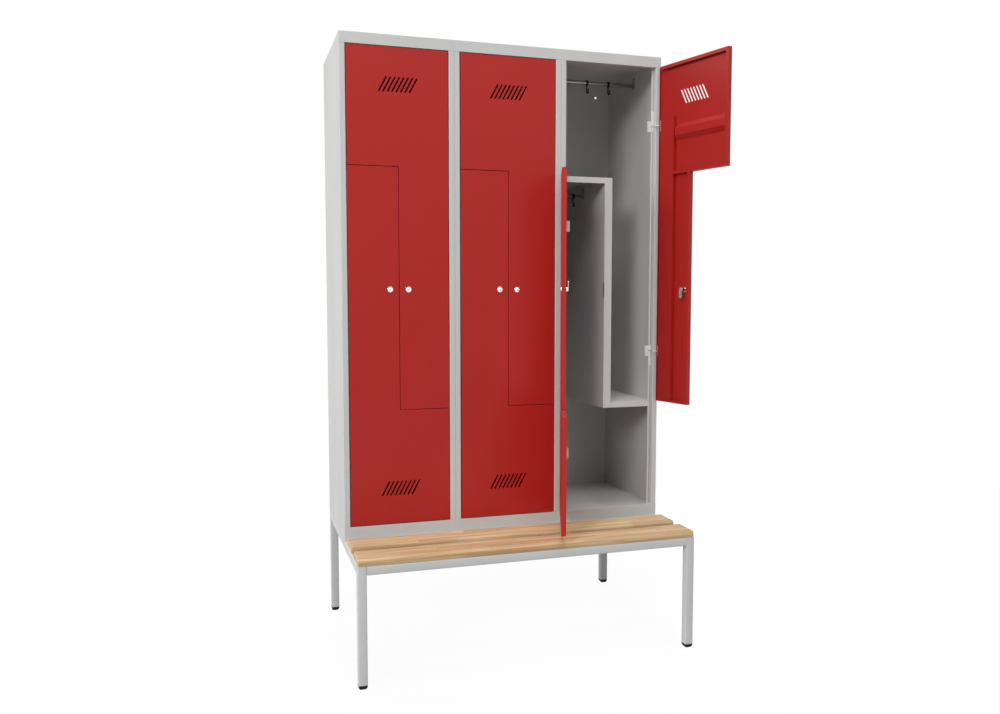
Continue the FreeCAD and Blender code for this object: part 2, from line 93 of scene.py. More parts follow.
# %% Place the camera
EYE = Vector((-0.9813, -3.0892, 1.2784))
TURN_RIGHT = math.radians(17.072)
LOOK_DOWN = math.radians(4.187)
LENS_MM = 32.09
SENSOR_MM = 36
camera = bpy.data.cameras.new("camera")
camera.lens = LENS_MM
camera.sensor_width = SENSOR_MM
camera.sensor_fit = "HORIZONTAL"
viewer = bpy.data.objects.new("viewer", camera)
viewer.location = DATUM + EYE
viewer.rotation_euler = (math.pi / 2 - LOOK_DOWN, 0, -TURN_RIGHT)
bpy.context.scene.collection.objects.link(viewer)
bpy.context.scene.camera = viewer
bpy.context.scene.view_settings.view_transform = "Standard"
print("camera at", tuple(round(v, 3) for v in viewer.location))

# %% [markdown]
# ## Building node trees
# Every material and node group below is a small graph. Four helpers keep them readable: one
# places a node with its settings and plain values, one wires outputs to inputs, one makes a group
# with named sockets, and one places such a group in a material.


# %% Node helpers
def place(tree, kind, values=None, **settings):
    node = tree.nodes.new(kind)
    for name, value in settings.items():
        setattr(node, name, value)
    for name, value in (values or {}).items():
        node.inputs[name].default_value = value
    return node


def wire(tree, *links):
    for source, target in links:
        tree.links.new(source, target)


def new_group(name, inputs, outputs):
    """A shader node group with named sockets, and its input and output nodes."""
    tree = bpy.data.node_groups.new(name, "ShaderNodeTree")
    for socket, value in inputs.items():
        kind = "NodeSocketColor" if isinstance(value, tuple) else "NodeSocketFloat"
        made = tree.interface.new_socket(socket, in_out="INPUT", socket_type=kind)
        made.default_value = value
    for socket, kind in outputs.items():
        tree.interface.new_socket(socket, in_out="OUTPUT", socket_type=kind)
    return tree, tree.nodes.new("NodeGroupInput"), tree.nodes.new("NodeGroupOutput")


def use_group(tree, group, **values):
    node = tree.nodes.new("ShaderNodeGroup")
    node.node_tree = group
    for name, value in values.items():
        node.inputs[name].default_value = value
    return node


# %% [markdown]
# ## Powder coat: the shared effects
# Powder paint melts into a film with a fine ripple called orange peel. It also goes thin along
# folded edges, collects a little dust on top and shows faint wiping marks where hands and cloths
# have been. The paler colour on fold edges is partly that thin paint and partly a painted
# highlight, and the darkening in seams is painted shade. Painted images could show that, but they
# would need a map for each sheet. Noise and the shape itself give it everywhere, and as groups,
# each effect is built once and serves the red, the grey and the bench frame with their own values.

# %% Orange peel
ripple, ripple_in, ripple_out = new_group(
    "orange_peel", {"Scale": 600.0}, {"Height": "NodeSocketFloat"}
)
coords = place(ripple, "ShaderNodeTexCoord")
coarse = place(ripple, "ShaderNodeTexNoise", {"Detail": 2.0, "Roughness": 0.5})
wire(
    ripple,
    (coords.outputs["Object"], coarse.inputs["Vector"]),
    (ripple_in.outputs["Scale"], coarse.inputs["Scale"]),
    (coarse.outputs["Fac"], ripple_out.inputs["Height"]),
)
print("group", ripple.name)

# %% Edges of folds
# Paler colour on this mask stands partly for paint that runs thin on a fold and partly for a
# painted highlight along the edge.
folded, folded_in, folded_out = new_group(
    "fold_edges_and_highlight", {"Width": 0.0015}, {"Mask": "NodeSocketFloat"}
)
soft = place(folded, "ShaderNodeBevel", samples=4)
flat = place(folded, "ShaderNodeNewGeometry")
lean = place(folded, "ShaderNodeVectorMath", operation="DOT_PRODUCT")
spread = place(folded, "ShaderNodeMapRange", {"From Min": 0.98, "From Max": 0.75})
coords = place(folded, "ShaderNodeTexCoord")
patchy = place(folded, "ShaderNodeTexNoise", {"Scale": 45.0, "Detail": 4.0})
broken = place(
    folded, "ShaderNodeMapRange", {"From Min": 0.35, "From Max": 0.65, "To Min": 0.25}
)
both = place(folded, "ShaderNodeMath", operation="MULTIPLY")
wire(
    folded,
    (folded_in.outputs["Width"], soft.inputs["Radius"]),
    (soft.outputs["Normal"], lean.inputs[0]),
    (flat.outputs["Normal"], lean.inputs[1]),
    (lean.outputs["Value"], spread.inputs["Value"]),
    (coords.outputs["Object"], patchy.inputs["Vector"]),
    (patchy.outputs["Fac"], broken.inputs["Value"]),
    (spread.outputs["Result"], both.inputs[0]),
    (broken.outputs["Result"], both.inputs[1]),
    (both.outputs["Value"], folded_out.inputs["Mask"]),
)
print("group", folded.name)

# %% Wiping marks
marks, marks_in, marks_out = new_group(
    "wiping_marks", {"Scale": 5.0}, {"Mask": "NodeSocketFloat"}
)
coords = place(marks, "ShaderNodeTexCoord")
stretch = place(marks, "ShaderNodeMapping", {"Scale": (1.0, 1.0, 0.35)})
cloudy = place(
    marks, "ShaderNodeTexNoise", {"Detail": 5.0, "Roughness": 0.55, "Distortion": 0.6}
)
lift = place(marks, "ShaderNodeMapRange", {"From Min": 0.38, "From Max": 0.68})
wire(
    marks,
    (coords.outputs["Object"], stretch.inputs["Vector"]),
    (stretch.outputs["Vector"], cloudy.inputs["Vector"]),
    (marks_in.outputs["Scale"], cloudy.inputs["Scale"]),
    (cloudy.outputs["Fac"], lift.inputs["Value"]),
    (lift.outputs["Result"], marks_out.inputs["Mask"]),
)
print("group", marks.name)

# %% Settled dust
dust, dust_in, dust_out = new_group(
    "settled_dust", {"Amount": 0.3}, {"Mask": "NodeSocketFloat"}
)
facing = place(dust, "ShaderNodeNewGeometry")
split = place(dust, "ShaderNodeSeparateXYZ")
upward = place(dust, "ShaderNodeMapRange", {"From Min": 0.7, "From Max": 1.0})
coords = place(dust, "ShaderNodeTexCoord")
specks = place(dust, "ShaderNodeTexNoise", {"Scale": 14.0, "Detail": 8.0, "Roughness": 0.7})
drift = place(dust, "ShaderNodeMapRange", {"From Min": 0.35, "From Max": 0.75})
here = place(dust, "ShaderNodeMath", operation="MULTIPLY")
much = place(dust, "ShaderNodeMath", operation="MULTIPLY")
wire(
    dust,
    (facing.outputs["Normal"], split.inputs["Vector"]),
    (split.outputs["Z"], upward.inputs["Value"]),
    (coords.outputs["Object"], specks.inputs["Vector"]),
    (specks.outputs["Fac"], drift.inputs["Value"]),
    (upward.outputs["Result"], here.inputs[0]),
    (drift.outputs["Result"], here.inputs[1]),
    (here.outputs["Value"], much.inputs[0]),
    (dust_in.outputs["Amount"], much.inputs[1]),
    (much.outputs["Value"], dust_out.inputs["Mask"]),
)
print("group", dust.name)

# %% Painted shade in seams
# The mask is 1 where ambient occlusion finds a point closed in by the piece's own faces; darkening
# by it is painted shade in seams and gaps.
seam_shade, seam_shade_in, seam_shade_out = new_group(
    "painted_seam_shade", {"Reach": 0.004}, {"Mask": "NodeSocketFloat"}
)
open_air = place(seam_shade, "ShaderNodeAmbientOcclusion", samples=8, only_local=True)
closed_in = place(seam_shade, "ShaderNodeMapRange", {"From Min": 0.97, "From Max": 0.55})
wire(
    seam_shade,
    (seam_shade_in.outputs["Reach"], open_air.inputs["Distance"]),
    (open_air.outputs["AO"], closed_in.inputs["Value"]),
    (closed_in.outputs["Result"], seam_shade_out.inputs["Mask"]),
)
print("group", seam_shade.name)


# %% [markdown]
# ## The paints
# The doors, the carcass, the bench frame and the hinges are coated with the same kind of powder.
# Each could be a material of its own, but they differ only in colour and gloss, so one function
# makes them all. The colour is the plain paint, a little darker in the wiping marks, paler on the
# edges of folds as thin paint with a painted highlight, greyer under dust, and darkened in the
# seams as painted shade. The marks also vary the gloss, and the orange peel goes to the bump.


# %% Material helpers
def blend_colour(tree, mask, below, above):
    """Mixes the colour above over the one below by a mask; a colour is a socket or a tuple."""
    mix = place(tree, "ShaderNodeMix", data_type="RGBA")
    wire(tree, (mask, mix.inputs["Factor"]))
    for socket, value in ((mix.inputs["A"], below), (mix.inputs["B"], above)):
        if isinstance(value, tuple):
            socket.default_value = value
        else:
            wire(tree, (value, socket))
    return mix.outputs["Result"]


def scaled(tree, value, factor):
    node = place(tree, "ShaderNodeMath", operation="MULTIPLY")
    node.inputs[1].default_value = factor
    wire(tree, (value, node.inputs[0]))
    return node.outputs["Value"]


def new_material(name):
    material = bpy.data.materials.new(name)
    material.use_nodes = True
    tree = material.node_tree
    return material, tree, tree.nodes["Principled BSDF"]


def bump(tree, shader, height, strength, depth):
    node = place(tree, "ShaderNodeBump", {"Strength": strength, "Distance": depth})
    wire(tree, (height, node.inputs["Height"]), (node.outputs["Normal"], shader.inputs["Normal"]))


# %% Paint function
WORN_SHADE = 0.95
PAINTED_SEAM_SHADE = 0.3
PAINTED_SEAM_SHARE = 0.7
DUST_GREY = (0.42, 0.41, 0.39, 1.0)
PAINT_GLOSS_SPREAD = 0.08
PEEL_STRENGTH = 0.22
PEEL_DEPTH = 0.0002


def darker(colour, shade):
    return tuple(c * shade for c in colour[:3]) + (1.0,)


def paint(name, colour, edge_paint_and_highlight, gloss, edge_share, shine=0.5):
    material, tree, shader = new_material(name)
    worn = use_group(tree, marks, Scale=4.0)
    folds = use_group(tree, folded, Width=0.0016)
    settled = use_group(tree, dust, Amount=0.25)
    seams = use_group(tree, seam_shade, Reach=0.004)
    peel = use_group(tree, ripple, Scale=550.0)
    on_folds = scaled(tree, folds.outputs["Mask"], edge_share)
    shade_in_seams = scaled(tree, seams.outputs["Mask"], PAINTED_SEAM_SHARE)
    shade = blend_colour(tree, worn.outputs["Mask"], colour, darker(colour, WORN_SHADE))
    # Paler fold edges: thin paint and a painted highlight.
    shade = blend_colour(tree, on_folds, shade, edge_paint_and_highlight)
    shade = blend_colour(tree, settled.outputs["Mask"], shade, DUST_GREY)
    # Painted shade: the seams are darkened where the mask finds them closed in.
    shade = blend_colour(tree, shade_in_seams, shade, darker(colour, PAINTED_SEAM_SHADE))
    rough = place(
        tree, "ShaderNodeMapRange", {"To Min": gloss, "To Max": gloss + PAINT_GLOSS_SPREAD}
    )
    wire(
        tree,
        (worn.outputs["Mask"], rough.inputs["Value"]),
        (rough.outputs["Result"], shader.inputs["Roughness"]),
        (shade, shader.inputs["Base Color"]),
    )
    shader.inputs["Specular IOR Level"].default_value = shine
    bump(tree, shader, peel.outputs["Height"], PEEL_STRENGTH, PEEL_DEPTH)
    return material


# %% Red and grey paints
# The second colour of each paint is its fold edge: thin paint with a painted highlight.
door_red = paint(
    "door_red", (0.42, 0.0145, 0.011, 1), (0.48, 0.037, 0.032, 1),
    gloss=0.40, edge_share=0.3, shine=0.35,
)
carcass_grey = paint(
    "carcass_grey", (0.595, 0.595, 0.585, 1), (0.675, 0.675, 0.665, 1), gloss=0.45, edge_share=0.2
)
frame_grey = paint(
    "frame_grey", (0.61, 0.62, 0.615, 1), (0.69, 0.70, 0.695, 1), gloss=0.42, edge_share=0.3
)
hinge_grey = paint(
    "hinge_grey", (0.72, 0.73, 0.72, 1), (0.80, 0.80, 0.79, 1), gloss=0.38, edge_share=0.2
)
print("paints", door_red.name, carcass_grey.name, frame_grey.name, hinge_grey.name)

# %% [markdown]
# ## Beech
# The seat is glued up from beech staves about 37 mm wide, each with its own tint. Along every
# stave run soft streaks, and across them the short dark flecks that tell beech from other pale
# woods. Each stave could be a mesh, but the glue lines are flush, so colour alone shows them.
# Position is rounded down to a row and a length, and a random number for that pair sets the tint.

# %% Beech staves
BEECH_PALE = (0.76, 0.575, 0.35, 1.0)
BEECH_DARK = (0.49, 0.30, 0.145, 1.0)
STAVE_WIDE = 0.0367
STAVE_LONG = 0.8
beech_grain, grain_in, grain_out = new_group(
    "beech_grain",
    {"Pale": BEECH_PALE, "Dark": BEECH_DARK, "Stave": STAVE_WIDE, "Length": STAVE_LONG},
    {"Color": "NodeSocketColor", "Height": "NodeSocketFloat"},
)
coords = place(beech_grain, "ShaderNodeTexCoord")
axes = place(beech_grain, "ShaderNodeSeparateXYZ")
row = place(beech_grain, "ShaderNodeMath", operation="DIVIDE")
row_number = place(beech_grain, "ShaderNodeMath", operation="FLOOR")
row_start = place(beech_grain, "ShaderNodeTexWhiteNoise", noise_dimensions="1D")
along = place(beech_grain, "ShaderNodeMath", operation="DIVIDE")
along_shifted = place(beech_grain, "ShaderNodeMath", operation="ADD")
board_number = place(beech_grain, "ShaderNodeMath", operation="FLOOR")
pair = place(beech_grain, "ShaderNodeCombineXYZ")
tint = place(beech_grain, "ShaderNodeTexWhiteNoise", noise_dimensions="3D")
wire(
    beech_grain,
    (coords.outputs["Object"], axes.inputs["Vector"]),
    (axes.outputs["Y"], row.inputs[0]),
    (grain_in.outputs["Stave"], row.inputs[1]),
    (row.outputs["Value"], row_number.inputs[0]),
    (row_number.outputs["Value"], row_start.inputs["W"]),
    (axes.outputs["X"], along.inputs[0]),
    (grain_in.outputs["Length"], along.inputs[1]),
    (along.outputs["Value"], along_shifted.inputs[0]),
    (row_start.outputs["Value"], along_shifted.inputs[1]),
    (along_shifted.outputs["Value"], board_number.inputs[0]),
    (row_number.outputs["Value"], pair.inputs["X"]),
    (board_number.outputs["Value"], pair.inputs["Y"]),
    (pair.outputs["Vector"], tint.inputs["Vector"]),
)
print("staves", round(STAVE_WIDE * 1000), "mm wide")

# %% Beech streaks and flecks
FLECK_BROWN = (0.36, 0.19, 0.09, 1.0)
TINT_SHARE = 0.4
offset = place(beech_grain, "ShaderNodeVectorMath", operation="ADD")
streak_size = place(beech_grain, "ShaderNodeMapping", {"Scale": (2.2, 75.0, 75.0)})
streaks = place(
    beech_grain, "ShaderNodeTexNoise", {"Scale": 1.0, "Detail": 5.0, "Distortion": 0.8}
)
streak_share = place(
    beech_grain, "ShaderNodeMapRange", {"From Min": 0.4, "From Max": 0.62, "To Max": 0.75}
)
fleck_size = place(beech_grain, "ShaderNodeMapping", {"Scale": (95.0, 900.0, 900.0)})
flecks = place(beech_grain, "ShaderNodeTexNoise", {"Scale": 1.0, "Detail": 1.0})
fleck_mask = place(
    beech_grain, "ShaderNodeMapRange", {"From Min": 0.60, "From Max": 0.72, "To Max": 0.35}
)
darkness = place(beech_grain, "ShaderNodeMath", operation="ADD")
wire(
    beech_grain,
    (coords.outputs["Object"], offset.inputs[0]),
    (tint.outputs["Color"], offset.inputs[1]),
    (offset.outputs["Vector"], streak_size.inputs["Vector"]),
    (streak_size.outputs["Vector"], streaks.inputs["Vector"]),
    (coords.outputs["Object"], fleck_size.inputs["Vector"]),
    (fleck_size.outputs["Vector"], flecks.inputs["Vector"]),
    (streaks.outputs["Fac"], streak_share.inputs["Value"]),
    (streak_share.outputs["Result"], darkness.inputs[0]),
    (scaled(beech_grain, tint.outputs["Value"], TINT_SHARE), darkness.inputs[1]),
    (flecks.outputs["Fac"], fleck_mask.inputs["Value"]),
)
wood = blend_colour(
    beech_grain, darkness.outputs["Value"], grain_in.outputs["Pale"], grain_in.outputs["Dark"]
)
wood = blend_colour(beech_grain, fleck_mask.outputs["Result"], wood, FLECK_BROWN)
wire(
    beech_grain,
    (wood, grain_out.inputs["Color"]),
    (streaks.outputs["Fac"], grain_out.inputs["Height"]),
)
print("group", beech_grain.name)

# %% Beech under clear lacquer
# Painted shade: faces inside the gap between the boards, which the mask finds closed in, are
# darkened towards a deep brown.
GAP_SHADE_BROWN = (0.20, 0.11, 0.05, 1.0)
GAP_SHADE_SHARE = 0.75
beech, tree, shader = new_material("beech")
figure = use_group(tree, beech_grain)
rubbed = use_group(tree, marks, Scale=9.0)
between = use_group(tree, seam_shade, Reach=0.06)
shade_in_gap = scaled(tree, between.outputs["Mask"], GAP_SHADE_SHARE)
wood = blend_colour(tree, shade_in_gap, figure.outputs["Color"], GAP_SHADE_BROWN)
rough = place(tree, "ShaderNodeMapRange", {"To Min": 0.5, "To Max": 0.66})
shader.inputs["Specular IOR Level"].default_value = 0.3
wire(
    tree,
    (wood, shader.inputs["Base Color"]),
    (rubbed.outputs["Mask"], rough.inputs["Value"]),
    (rough.outputs["Result"], shader.inputs["Roughness"]),
)
bump(tree, shader, figure.outputs["Height"], strength=0.15, depth=0.0003)
print("finish", beech.name)


# %% [markdown]
# ## Plastic and metals
# The hooks and glides are moulded from black plastic with a fine spark-eroded grain. The coat
# rails are drawn steel, so their scratches run along them. The lock is plated and polished, with
# only faint wipe marks, and the keyway is a dark shadow. All are a fine grain in two near tones,
# so one function makes them, and stretching the grain along one axis turns specks into scratches.


# %% Plastic and metal finishes
GRAIN_GLOSS_SPREAD = 0.12
GRAIN_DEPTH = 0.0001


def grained(name, pale, dark, metal, gloss, grain_scale, strength, shine=0.5):
    """A finish whose colour, gloss and bump follow a fine noise, scaled along each axis."""
    material, tree, shader = new_material(name)
    coords = place(tree, "ShaderNodeTexCoord")
    size = place(tree, "ShaderNodeMapping", {"Scale": grain_scale})
    grain = place(tree, "ShaderNodeTexNoise", {"Scale": 1.0, "Detail": 3.0})
    worn = use_group(tree, marks, Scale=30.0)
    rough = place(
        tree, "ShaderNodeMapRange", {"To Min": gloss, "To Max": gloss + GRAIN_GLOSS_SPREAD}
    )
    shade = blend_colour(tree, grain.outputs["Fac"], dark, pale)
    wire(
        tree,
        (coords.outputs["Object"], size.inputs["Vector"]),
        (size.outputs["Vector"], grain.inputs["Vector"]),
        (worn.outputs["Mask"], rough.inputs["Value"]),
        (rough.outputs["Result"], shader.inputs["Roughness"]),
        (shade, shader.inputs["Base Color"]),
    )
    shader.inputs["Metallic"].default_value = metal
    shader.inputs["Specular IOR Level"].default_value = shine
    bump(tree, shader, grain.outputs["Fac"], strength, GRAIN_DEPTH)
    return material


black_plastic = grained(
    "black_plastic", (0.014, 0.014, 0.013, 1), (0.007, 0.007, 0.007, 1),
    metal=0.0, gloss=0.55, grain_scale=(1500, 1500, 1500), strength=0.2, shine=0.15,
)
rail_steel = grained(
    "rail_steel", (0.38, 0.38, 0.375, 1), (0.27, 0.27, 0.265, 1),
    metal=1.0, gloss=0.28, grain_scale=(8, 2500, 2500), strength=0.12,
)
# Painted shade: the coat rails' end plates get this darker grey to stand for the shadow line along
# their edges.
shaded_plate_steel = grained(
    "shaded_plate_steel", (0.40, 0.40, 0.39, 1), (0.28, 0.28, 0.27, 1),
    metal=0.0, gloss=0.5, grain_scale=(400, 400, 400), strength=0.1,
)
lock_chrome = grained(
    "lock_chrome", (0.95, 0.95, 0.95, 1), (0.88, 0.88, 0.88, 1),
    metal=1.0, gloss=0.12, grain_scale=(900, 900, 900), strength=0.05,
)
cam_steel = grained(
    "cam_steel", (0.80, 0.80, 0.79, 1), (0.68, 0.68, 0.67, 1),
    metal=1.0, gloss=0.42, grain_scale=(700, 700, 700), strength=0.1,
)
keyway_dark = grained(
    "keyway_dark", (0.020, 0.019, 0.018, 1), (0.008, 0.008, 0.008, 1),
    metal=0.0, gloss=0.6, grain_scale=(900, 900, 900), strength=0.1, shine=0.2,
)
print("plastic and metals", black_plastic.name, rail_steel.name, lock_chrome.name)

# %% [markdown]
# ## Finish the construction nodes
# The record names a finish for each construction node. Sheets could be remade here too, but they
# have the right folds already, so each keeps its own mesh and only its material slot is filled.
# Some small steel differs from the sheet it is fixed to: both halves of the hinges are a paler
# grey, and the end plates of the coat rails are darker, as painted shade for the shadow line
# along their edges.

# %% Assign the finishes
FINISHES = {
    "door_red": door_red,
    "carcass_grey": carcass_grey,
    "frame_grey": frame_grey,
    "beech": beech,
    "black_plastic": black_plastic,
    "rail_steel": rail_steel,
    "lock_chrome": lock_chrome,
}
for part in frame["record"]["subparts"]:
    mesh = frame["nodes"][part["node"]].data
    mesh.materials.clear()
    mesh.materials.append(FINISHES[part["material_slot"]])
hinge_halves = [n for n in frame["nodes"] if n == "hinge_brackets" or n.endswith("_hinge_arms")]
for node in hinge_halves:
    frame["nodes"][node].data.materials[0] = hinge_grey
# The rail plates' darker grey is painted shade.
frame["nodes"]["rail_plates"].data.materials[0] = shaded_plate_steel
print(len(hinge_halves), "of them are hinge halves")


# %% [markdown]
# ## Making new pieces
# Small pieces that eyes and hands meet, such as slats, tubes, glides, hooks and locks, are rounder
# than the construction solids. Modifiers on those solids would round their facets too, so each
# piece is shaped anew with bmesh operators, in place. It becomes an object at the origin, rides on
# the body that carries it, and is shown instead of its construction node.


# %% Piece helpers
MERGE = 1e-6
SHARP = math.radians(38)
X, Y, Z = range(3)
MOSTLY = 0.9


def finish_piece(name, shape, finishes, body, nodes):
    bmesh.ops.remove_doubles(shape, verts=shape.verts, dist=MERGE)
    bmesh.ops.recalc_face_normals(shape, faces=shape.faces)
    mesh = bpy.data.meshes.new(name)
    shape.to_mesh(mesh)
    shape.free()
    mesh.polygons.foreach_set("use_smooth", [True] * len(mesh.polygons))
    mesh.set_sharp_from_angle(angle=SHARP)
    for finish in finishes:
        mesh.materials.append(finish)
    piece = bpy.data.objects.new(name, mesh)
    bpy.context.scene.collection.objects.link(piece)
    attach(piece, body)
    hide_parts(*nodes)
    return piece


def round_edges(shape, edges, radius, segments):
    bmesh.ops.bevel(
        shape,
        geom=list(edges),
        offset=radius,
        offset_type="OFFSET",
        affect="EDGES",
        segments=segments,
        profile=0.5,
        material=-1,
    )


def add_block(shape, low, high):
    """A plain block between two corners; returns its vertices."""
    spot = Matrix.Translation((low + high) / 2) @ Matrix.Diagonal((*(high - low), 1))
    return bmesh.ops.create_cube(shape, size=1, matrix=spot)["verts"]


def edges_of(verts):
    return {e for v in verts for e in v.link_edges}


def runs_along(edge, axis):
    way = edge.verts[1].co - edge.verts[0].co
    return abs(way[axis]) > MOSTLY * way.length


# %% [markdown]
# ## Seat slats
# Two beech boards lie on the bench frame. A router has rounded their long top edges, and sandpaper
# has broken the other edges. A profile could be drawn and pulled along, but a block with bevelled
# edges keeps the boards' sizes plain: the long top edges get a wide bevel, all others a narrow one.

# %% Model the slats
SLAT_WIDE = 110 * MM
SLAT_ROUND = 9 * MM
SLAT_BREAK = 1.2 * MM
low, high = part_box("bench_slats")
slats = bmesh.new()
for y in (low.y, high.y - SLAT_WIDE):
    board = add_block(
        slats, Vector((low.x, y, low.z)), Vector((high.x, y + SLAT_WIDE, high.z))
    )
    top = [e for e in edges_of(board) if min(v.co.z for v in e.verts) > high.z - MM]
    long_top = [e for e in top if runs_along(e, X)]
    others = [e for e in edges_of(board) if e not in long_top]
    round_edges(slats, long_top, SLAT_ROUND, segments=5)
    round_edges(slats, [e for e in others if e.is_valid], SLAT_BREAK, segments=2)
seat = finish_piece("seat_slats", slats, [beech], "carcass", ["bench_slats"])
print(seat.name, len(seat.data.polygons), "faces")

# %% [markdown]
# ## Bench frame
# The frame is welded from 30 mm square tube. Drawn tube has rounded edges, which catch the light
# in a thin line. Its hollow is closed in by the other tubes and the glides, so each length is a
# plain block with its four long edges rounded.

# %% Model the tubes
TUBE = 30 * MM
TUBE_ROUND = 3 * MM


def add_tube(shape, low, high, axis):
    verts = add_block(shape, Vector(low), Vector(high))
    long_edges = [e for e in edges_of(verts) if runs_along(e, axis)]
    round_edges(shape, long_edges, TUBE_ROUND, segments=4)


def two_ends(low, high, axis):
    """The low and high start of a tube's width inside a node's box, along one axis."""
    return low[axis], high[axis] - TUBE


def finish_tubes(shape, node):
    finish_piece("bench_" + node, shape, [frame_grey], "carcass", [node])


low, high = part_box("legs")
legs = bmesh.new()
for x in two_ends(low, high, X):
    for y in two_ends(low, high, Y):
        add_tube(legs, (x, y, low.z), (x + TUBE, y + TUBE, high.z), Z)
finish_tubes(legs, "legs")

low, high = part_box("front_rail")
front = bmesh.new()
add_tube(front, low, high, X)
finish_tubes(front, "front_rail")

low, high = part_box("cross_rails")
cross = bmesh.new()
for y in two_ends(low, high, Y):
    add_tube(cross, (low.x, y, low.z), (high.x, y + TUBE, high.z), X)
finish_tubes(cross, "cross_rails")

low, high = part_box("side_rails")
sides = bmesh.new()
for x in two_ends(low, high, X):
    add_tube(sides, (x, low.y, low.z), (x + TUBE, high.y, high.z), Y)
finish_tubes(sides, "side_rails")
print("bench frame of nine tubes")

# %% [markdown]
# ## Glides
# Under each leg sits a black plastic glide, as wide as the tube and rounded towards the floor like
# a shallow bowl. A bevelled block would have one radius all over. So the glide starts as a square
# with rounded corners against the leg, and that face is pulled down step by step, a little smaller
# each time.

# %% Model the glides
GLIDE_CORNER = 3 * MM
GLIDE_STEPS = ((3.5, 1.0), (4.0, 0.95), (3.4, 0.89), (2.5, 0.82), (1.6, 0.74))


def pull(shape, face, way, scale=1.0):
    """Extrudes a face, moves and scales the copy, and returns it."""
    made = bmesh.ops.extrude_discrete_faces(shape, faces=[face])["faces"][0]
    bmesh.ops.translate(shape, verts=made.verts, vec=way)
    middle = made.calc_center_median()
    size = Matrix.Diagonal((scale, scale, 1, 1))
    bmesh.ops.transform(
        shape, verts=made.verts, matrix=size, space=Matrix.Translation(-middle)
    )
    return made


def close_holes(shape):
    """Pulling a face leaves its first place open; this puts a face there."""
    bmesh.ops.holes_fill(shape, edges=[e for e in shape.edges if e.is_boundary], sides=0)


def add_glide(shape, top):
    square = Matrix.Translation(top) @ Matrix.Rotation(math.pi / 4, 4, "Z")
    start = bmesh.ops.create_circle(
        shape, cap_ends=True, segments=4, radius=TUBE / math.sqrt(2), matrix=square
    )
    bmesh.ops.bevel(
        shape,
        geom=start["verts"],
        offset=GLIDE_CORNER,
        affect="VERTICES",
        segments=3,
        profile=0.5,
        material=-1,
    )
    face = min(shape.faces, key=lambda f: (f.calc_center_median() - top).length)
    for drop, scale in GLIDE_STEPS:
        face = pull(shape, face, Vector((0, 0, -drop * MM)), scale)
    close_holes(shape)


low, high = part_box("feet")
glides = bmesh.new()
for x in two_ends(low, high, X):
    for y in two_ends(low, high, Y):
        add_glide(glides, Vector((x + TUBE / 2, y + TUBE / 2, high.z)))
finish_piece("glides", glides, [black_plastic], "carcass", ["feet"])
print("four glides,", round(high.z * 1000), "mm high")

# %% [markdown]
# ## Coat rails
# A rail runs across the top of each compartment: a length of drawn steel, cut on a lathe. A curve
# with a round bevel would do, but a cylinder with many sides has the ends closed at once. It lies
# along X, and a small bevel breaks its end edges.

# %% Model the coat rails
RAIL_R = 7 * MM
RAIL_SIDES = 48
RAIL_BREAK = 0.8 * MM
ALONG_X = Matrix.Rotation(math.pi / 2, 4, "Y")
for node in ("upper_rails", "lower_rails"):
    low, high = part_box(node)
    length = high.x - low.x - (BAYS - 1) * PITCH
    rails = bmesh.new()
    for n in range(BAYS):
        middle = (low + high) / 2
        middle.x = low.x + n * PITCH + length / 2
        rod = bmesh.ops.create_cone(
            rails,
            cap_ends=True,
            segments=RAIL_SIDES,
            radius1=RAIL_R,
            radius2=RAIL_R,
            depth=length,
            matrix=Matrix.Translation(middle) @ ALONG_X,
        )
        ends = [e for e in edges_of(rod["verts"]) if not runs_along(e, X)]
        round_edges(rails, ends, RAIL_BREAK, segments=2)
    finish_piece("coat_" + node, rails, [rail_steel], "carcass", [node])
    print("coat", node, round(length * 1000), "mm long")

# %% [markdown]
# ## Sliding hooks
# Each hook is moulded in one piece: an eye round the rail, and a stem that bends up to a rounded
# tip. A torus and a bevelled curve come near it, but the eye is a flat band. So a small section is
# spun once round the rail and its rims are rounded. The stem is a disc pulled down, spun through
# half a turn and pulled up again.

# %% Hook shapes
EYE_R = 7.35 * MM
EYE_OUT = 10.15 * MM
EYE_HALF = 4 * MM
EYE_SOFT = 0.6 * MM
EYE_STEPS = 40
RIM_ANGLE = 1.0
STEM_R = 2.4 * MM
STEM_SIDES = 16
STEM_SUNK = 1 * MM
STEM_DROP = 24 * MM
BEND_R = 8 * MM
BEND_STEPS = 14
TIP_STEPS = ((6.0, 1.0), (1.4, 0.82), (0.8, 0.5))
X_WAY = Vector((1, 0, 0))


def add_eye(shape, centre):
    section = [(EYE_R, -EYE_HALF), (EYE_OUT, -EYE_HALF), (EYE_OUT, EYE_HALF), (EYE_R, EYE_HALF)]
    verts = [shape.verts.new(centre + Vector((x, 0, r))) for r, x in section]
    pairs = zip(verts, verts[1:] + verts[:1])
    loop = [shape.edges.new(pair) for pair in pairs]
    bmesh.ops.spin(
        shape,
        geom=verts + loop,
        cent=centre,
        axis=X_WAY,
        angle=2 * math.pi,
        steps=EYE_STEPS,
        use_merge=True,
    )
    bmesh.ops.remove_doubles(shape, verts=shape.verts, dist=MERGE)
    rims = [
        e for e in shape.edges if len(e.link_faces) == 2 and e.calc_face_angle(0) > RIM_ANGLE
    ]
    round_edges(shape, rims, EYE_SOFT, segments=2)


